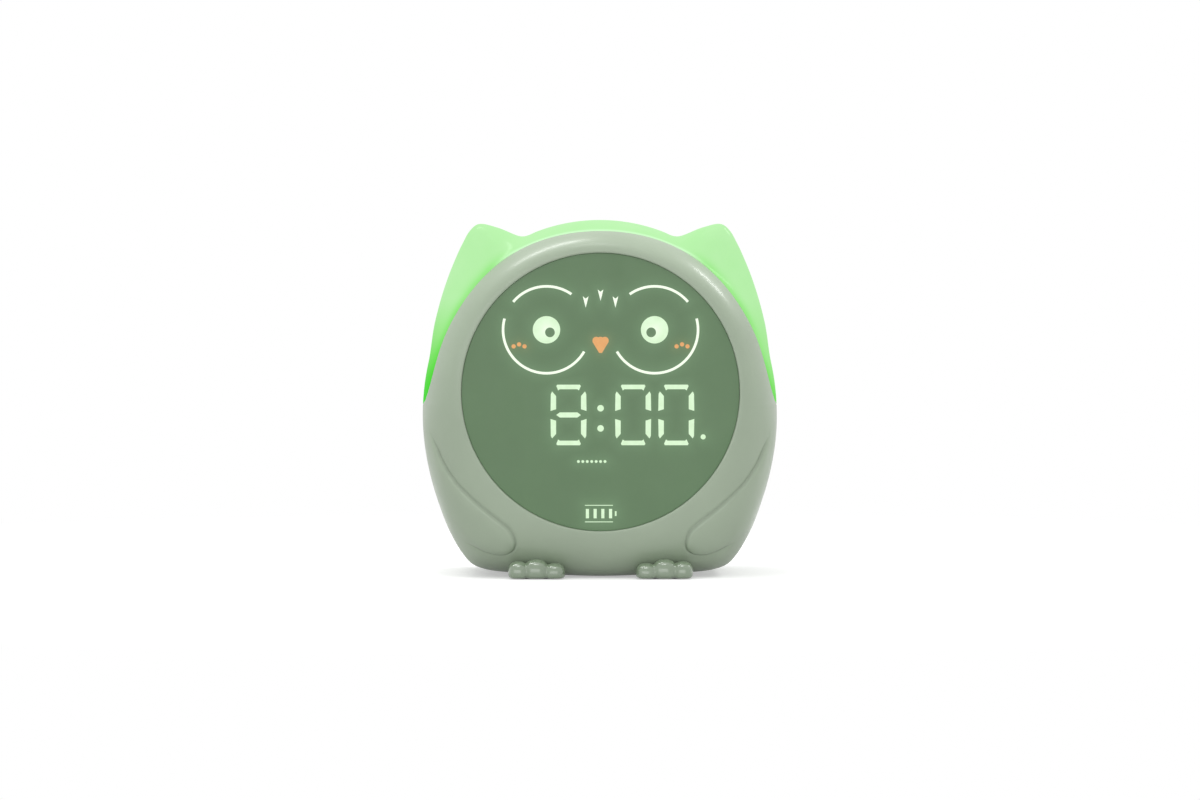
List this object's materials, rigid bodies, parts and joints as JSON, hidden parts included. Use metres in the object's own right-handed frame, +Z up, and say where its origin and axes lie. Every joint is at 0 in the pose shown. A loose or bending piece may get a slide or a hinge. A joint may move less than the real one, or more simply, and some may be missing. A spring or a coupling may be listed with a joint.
{
  "type": "kids alarm clock with night light",
  "caption": "Owl-shaped bedside alarm clock with a round lit display, a translucent night-light hood with ears, two toed feet and buttons on the back.",
  "frame": {"origin": "centre of the footprint on the surface that the clock stands on", "axes": "+Z up, the display faces -Y, +X to the right as seen from the front"},
  "size_m": [0.1252, 0.0861, 0.1254],
  "materials": {
    "sage_body": "satin moulded ABS, sage green",
    "hood_plastic": "translucent diffusing plastic, lit light green from inside",
    "foot_plastic": "gloss moulded plastic, sage green",
    "pad_rubber": "matt rubber",
    "lens_plastic": "dark green light-passing plastic, satin face",
    "mint_window": "lit mint window",
    "orange_window": "lit orange window",
    "adhesive": "foam tape",
    "film": "diffusing film",
    "white_plastic": "white ABS",
    "board": "glass-epoxy board with green mask",
    "white_board": "aluminium-backed LED board with white mask",
    "black_plastic": "black nylon or epoxy",
    "led": "LED package",
    "steel": "zinc-plated steel",
    "cell_wrap": "wrapped lithium cell",
    "fibre_tape": "fabric tape",
    "panel_plastic": "satin moulded ABS, darker sage green",
    "button_plastic": "satin moulded plastic, pale sage green",
    "light_button_plastic": "satin moulded plastic, light green",
    "paper_cone": "coated paper cone",
    "magnet_metal": "nickel-plated magnet",
    "red_wire": "PVC-covered lead",
    "black_wire": "PVC-covered lead",
    "flex": "flat flexible cable"
  },
  "bodies": {
    "clock_body": {"front_shell": "sage_body", "rear_shell": "sage_body", "night_light_hood": "hood_plastic", "left_foot": "foot_plastic", "right_foot": "foot_plastic", "foot_pads": "pad_rubber", "rear_pads": "pad_rubber", "display_lens": "lens_plastic", "lit_windows": "mint_window", "orange_windows": "orange_window", "lens_adhesive_ring": "adhesive", "diffuser_film": "film", "segment_light_frame": "white_plastic", "display_circuit_board": "board", "segment_leds": "led", "display_chips": "black_plastic", "display_screws": "steel", "mid_frame": "white_plastic", "frame_screws": "steel", "night_light_board": "white_board", "night_light_leds": "led", "night_light_screws": "steel", "hood_screws": "steel", "case_screws": "steel", "battery_cradle": "black_plastic", "battery_cell": "cell_wrap", "battery_strap": "fibre_tape", "control_panel": "panel_plastic", "main_circuit_board": "board", "main_board_chips": "black_plastic", "main_board_screws": "steel", "switch_bodies": "black_plastic", "slide_switch_body": "steel", "usb_socket_shell": "steel", "usb_socket_tongue": "black_plastic", "speaker_gasket": "pad_rubber", "speaker_frame": "steel", "speaker_cone": "paper_cone", "speaker_magnet": "magnet_metal", "battery_lead": "red_wire", "speaker_lead": "black_wire", "night_light_lead": "fibre_tape", "display_ribbon": "flex"},
    "light_button_body": {"light_button": "light_button_plastic", "light_plunger": "black_plastic"},
    "alarm_button_body": {"alarm_button": "button_plastic", "alarm_plunger": "black_plastic"},
    "clock_button_body": {"clock_button": "button_plastic", "clock_plunger": "black_plastic"},
    "plus_button_body": {"plus_button": "button_plastic", "plus_plunger": "black_plastic"},
    "minus_button_body": {"minus_button": "button_plastic", "minus_plunger": "black_plastic"},
    "power_slider_body": {"power_slider": "black_plastic"}
  },
  "joints": [
    {"name": "light_press", "type": "slide", "parent": "clock_body", "child": "light_button_body", "axis": [0, -1, 0], "range_m": [0, 0.0005], "stiffness_N_per_m": 2000, "springref_m": -0.0002},
    {"name": "alarm_press", "type": "slide", "parent": "clock_body", "child": "alarm_button_body", "axis": [0, -1, 0], "range_m": [0, 0.0005], "stiffness_N_per_m": 2000, "springref_m": -0.0002},
    {"name": "clock_press", "type": "slide", "parent": "clock_body", "child": "clock_button_body", "axis": [0, -1, 0], "range_m": [0, 0.0005], "stiffness_N_per_m": 2000, "springref_m": -0.0002},
    {"name": "plus_press", "type": "slide", "parent": "clock_body", "child": "plus_button_body", "axis": [0, -1, 0], "range_m": [0, 0.0005], "stiffness_N_per_m": 2000, "springref_m": -0.0002},
    {"name": "minus_press", "type": "slide", "parent": "clock_body", "child": "minus_button_body", "axis": [0, -1, 0], "range_m": [0, 0.0005], "stiffness_N_per_m": 2000, "springref_m": -0.0002},
    {"name": "power_slide", "type": "slide", "parent": "clock_body", "child": "power_slider_body", "axis": [1, 0, 0], "range_m": [0, 0.002]}
  ]
}
